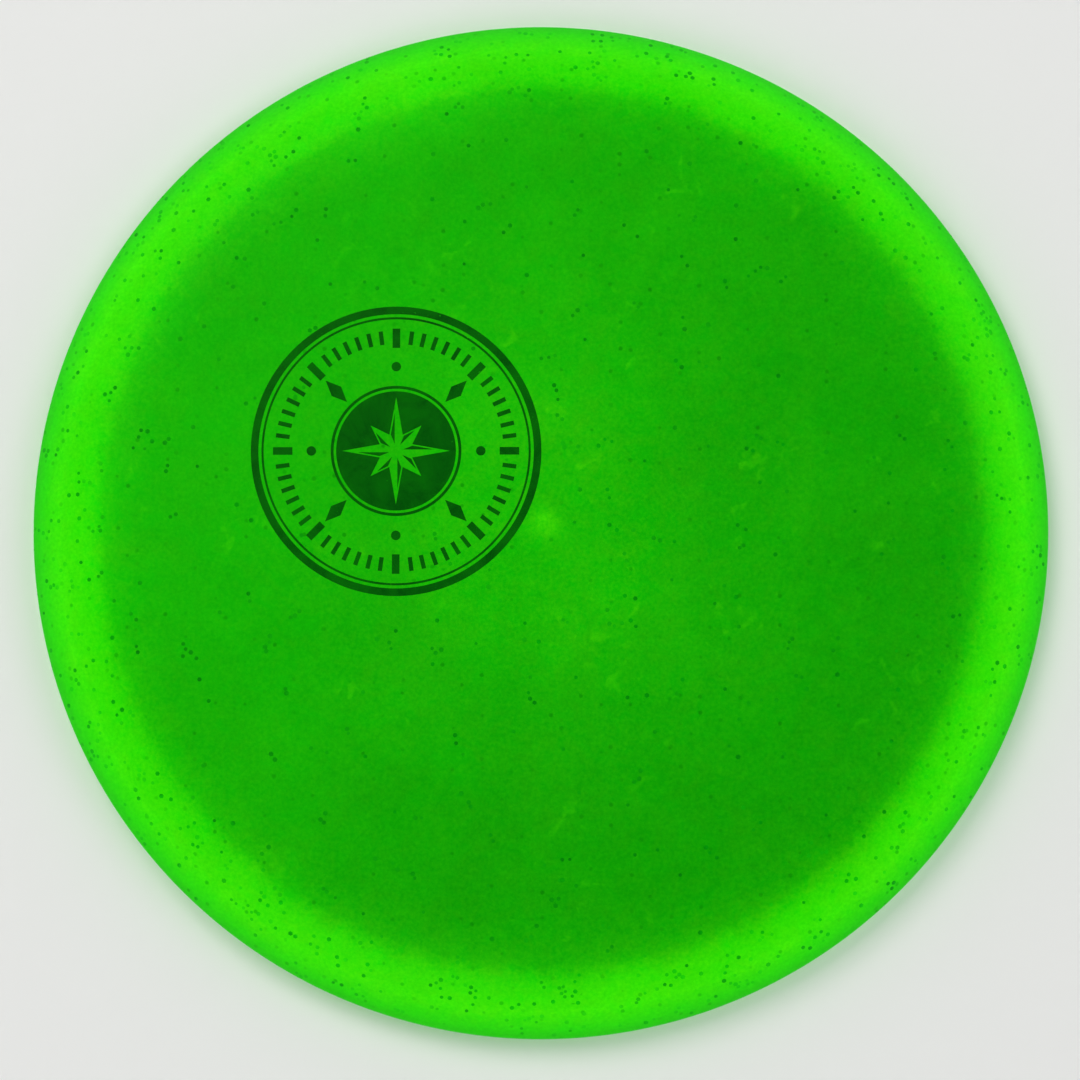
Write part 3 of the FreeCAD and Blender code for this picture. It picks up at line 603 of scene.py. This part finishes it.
def foil_film(name):
    net = Net(name)
    tc = net.node("ShaderNodeTexCoord").outputs["Object"]
    patch = net.map(net.noise(tc, 110.0, 4.0, 0.68, 0.6), 0.30, 0.70, 0.0, 1.0)
    grain = net.noise(tc, 1500.0, 2.0, 0.6)
    pin = net.map(net.noise(tc, 1250.0, 2.0, 0.55), 0.735, 0.79, 0.0, 1.0, smooth=True)
    dark = (0.0002, 0.0230, 0.0012, 1.0)
    pale = (0.0003, 0.0400, 0.0010, 1.0)
    base = net.mix(patch, dark, pale)
    base = net.mix(pin, base, (0.0040, 0.1600, 0.0010, 1.0))
    net.link(base, net.p.inputs["Base Color"])
    g_dark = (0.0001, 0.0420, 0.0010, 1.0)
    g_pale = (0.0001, 0.0860, 0.0003, 1.0)
    glow = net.mix(patch, g_dark, g_pale)
    glow = net.mix(pin, glow, (0.0060, 0.2200, 0.0010, 1.0))
    net.link(glow, net.p.inputs["Emission Color"])
    net.p.inputs["Emission Strength"].default_value = 1.0
    rough = net.map(net.math("ADD", patch, net.math("MULTIPLY", grain, 0.4)), 0.4, 1.0, 0.26, 0.44)
    net.link(rough, net.p.inputs["Roughness"])
    net.link(net.bump(net.math("ADD", grain, net.math("MULTIPLY", patch, 2.0)), 0.25, 0.00002),
             net.p.inputs["Normal"])
    green_gloss(net)
    return net.mat


def flake_film(name, keep, spread):
    """Flat glitter platelet. It dims the plastic's glow to a share of it (red,
    green), and the share wanders from flake to flake."""
    net = Net(name)
    tc = net.node("ShaderNodeTexCoord").outputs["Object"]
    _, r_rel = axis_distance(net, tc, False)
    tone = net.map(net.noise(tc, 420.0, 1.0, 0.5), 0.35, 0.65, 1.0 - spread, 1.0 + spread)
    for ramp, socket in ((GLOW, "Emission Color"), (BODY_TINT, "Base Color")):
        parts = net.node("ShaderNodeSeparateColor")
        net.link(net.ramp(r_rel, ramp), parts.inputs[0])
        c = net.node("ShaderNodeCombineColor")
        net.link(net.math("MULTIPLY", net.math("MULTIPLY", parts.outputs[0], keep[0]), tone), c.inputs[0])
        net.link(net.math("MULTIPLY", net.math("MULTIPLY", parts.outputs[1], keep[1]), tone), c.inputs[1])
        net.link(net.math("MULTIPLY", parts.outputs[2], 2.0), c.inputs[2])
        net.link(c.outputs[0], net.p.inputs[socket])
    net.p.inputs["Emission Strength"].default_value = 1.0
    net.p.inputs["Roughness"].default_value = 0.42
    green_gloss(net)
    return net.mat


M_BODY = glow_plastic("glow_plastic")
M_FOIL = foil_film("stamp_foil")
M_DARK = flake_film("flake_dark", (0.08, 0.60), 0.24)
M_PLATE_DARK = flake_film("flake_plate_dark", (0.05, 0.66), 0.20)
M_MID = flake_film("flake_mid", (0.28, 0.74), 0.14)
M_SOFT = flake_film("flake_soft", (0.50, 0.86), 0.08)


def dress(ob, mat):
    ob.data.materials.clear()
    ob.data.materials.append(mat)


dress(disc, M_BODY)
dress(stub, M_BODY)
for n in nodes:
    if n.startswith("stamp_"):
        for i in range(len(nodes[n].material_slots)):
            nodes[n].material_slots[i].link = "OBJECT"
            nodes[n].material_slots[i].material = M_FOIL
for n, m in (("flakes_rim", M_DARK), ("flakes_plate", M_PLATE_DARK)):
    for i in range(len(nodes[n].material_slots)):
        nodes[n].material_slots[i].link = "OBJECT"
        nodes[n].material_slots[i].material = m
dress(flakes_rim_mid, M_MID)
dress(flakes_rim_soft, M_SOFT)
dress(flakes_plate_mid, M_MID)
dress(flakes_plate_soft, M_SOFT)
dress(flakes_low_dark, M_DARK)
dress(flakes_low_soft, M_SOFT)

for ob in (disc, stub):
    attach(ob, "root")
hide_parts("disc_body")
for ob in (flakes_rim_mid, flakes_rim_soft, flakes_plate_mid, flakes_plate_soft,
           flakes_low_dark, flakes_low_soft):
    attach(ob, "root")


# ------------------------------------------------------------------- stage
def cove(name):
    """Pale floor that sweeps up into a wall all round, with painted light that grows from the middle of
    the floor out onto the wall.
    """
    pts = [(0.0, 0.0)]
    for r in (0.15, 0.3, 0.6, 1.2, 2.0, 2.6):
        pts.append((r, 0.0))
    for i in range(1, 13):
        a = math.pi / 2 * i / 12
        pts.append((2.6 + 1.2 * math.sin(a), 1.2 * (1 - math.cos(a))))
    pts.append((3.8, 2.8))
    verts, faces, rings = [], [], []
    seg = 96
    for r, z in pts:
        if r == 0:
            rings.append(0)
            verts.append((0, 0, 0))
        else:
            b = len(verts)
            verts += [(r * math.cos(2 * math.pi * j / seg), r * math.sin(2 * math.pi * j / seg), z)
                      for j in range(seg)]
            rings.append(range(b, b + seg))
    for u, v in zip(rings[:-1], rings[1:]):
        for j in range(seg):
            k = (j + 1) % seg
            faces.append((u, v[j], v[k]) if isinstance(u, int) else (u[j], v[j], v[k], u[k]))
    me = bpy.data.meshes.new(name)
    me.from_pydata(verts, [], faces)
    me.shade_smooth()
    ob = bpy.data.objects.new(name, me)
    bpy.context.scene.collection.objects.link(ob)
    net = Net(name)
    net.p.inputs["Roughness"].default_value = 0.75
    net.p.inputs["Specular IOR Level"].default_value = 0.25
    net.p.inputs["Base Color"].default_value = (0.88, 0.88, 0.87, 1.0)
    sweep = net.node("ShaderNodeTexCoord").outputs["Object"]
    dist = net.node("ShaderNodeVectorMath", operation="LENGTH")
    net.link(sweep, dist.inputs[0])
    # painted light: the floor glows more away from the middle, up to 0.26 on the far floor and wall
    lit = net.map(dist.outputs["Value"], 0.8, 3.0, 0.0, 0.26, smooth=True)
    grey = net.node("ShaderNodeCombineColor")
    for i in range(3):
        net.link(lit, grey.inputs[i])
    net.link(grey.outputs[0], net.p.inputs["Emission Color"])
    net.p.inputs["Emission Strength"].default_value = 1.0
    clear = net.node("ShaderNodeBsdfTransparent")
    geo = net.node("ShaderNodeNewGeometry")
    mixer = net.node("ShaderNodeMixShader")
    net.link(geo.outputs["Backfacing"], mixer.inputs[0])
    net.link(net.p.outputs[0], mixer.inputs[1])
    net.link(clear.outputs[0], mixer.inputs[2])
    net.link(mixer.outputs[0], net.out.inputs["Surface"])
    me.materials.append(net.mat)
    return ob


floor = cove("floor")
floor.location.z = -0.00002


def softbox(name, azimuth, elevation, distance, w, power, colour=(1.0, 1.0, 1.0)):
    data = bpy.data.lights.new(name, "AREA")
    data.shape = "RECTANGLE"
    data.size, data.size_y = w, w
    data.energy = power
    data.color = colour
    ob = bpy.data.objects.new(name, data)
    a, e = math.radians(azimuth), math.radians(elevation)
    ob.location = (distance * math.cos(e) * math.cos(a), distance * math.cos(e) * math.sin(a),
                   distance * math.sin(e))
    ob.rotation_mode = "QUATERNION"
    ob.rotation_quaternion = Vector(ob.location).to_track_quat("Z", "Y")
    bpy.context.scene.collection.objects.link(ob)
    return ob


softbox("key", 128.0, 60.0, 1.9, 1.1, 15.0, (1.0, 0.985, 0.96))
softbox("fill_right", 20.0, 57.0, 2.0, 1.2, 8.0, (0.97, 0.985, 1.0))
softbox("fill_front", 250.0, 57.0, 2.0, 1.2, 8.0)

world = bpy.data.worlds.new("studio")
world.use_nodes = True
bg = world.node_tree.nodes["Background"]
bg.inputs["Color"].default_value = (0.9, 0.95, 1.0, 1.0)
bg.inputs["Strength"].default_value = 0.08
bpy.context.scene.world = world

# ------------------------------------------------------------------ camera
TILT = math.radians(4.0)
DIST = 0.75
cam_data = bpy.data.cameras.new("camera")
cam = bpy.data.objects.new("camera", cam_data)
bpy.context.scene.collection.objects.link(cam)
cam_data.sensor_width = 36.0
cam_data.lens = 36.0 * DIST / 0.2309
cam_data.clip_start, cam_data.clip_end = 0.05, 50.0
aim = Vector((-0.0002, -0.00253, NOSE_Z * MM))
back = Vector((0.0, -math.sin(TILT), math.cos(TILT)))
cam.location = aim + back * DIST
cam.rotation_mode = "QUATERNION"
cam.rotation_quaternion = (-back).to_track_quat("-Z", "Y")
bpy.context.scene.camera = cam

vs = bpy.context.scene.view_settings
vs.view_transform = "Standard"
vs.look = "None"
vs.exposure = 0.0
vs.gamma = 1.0
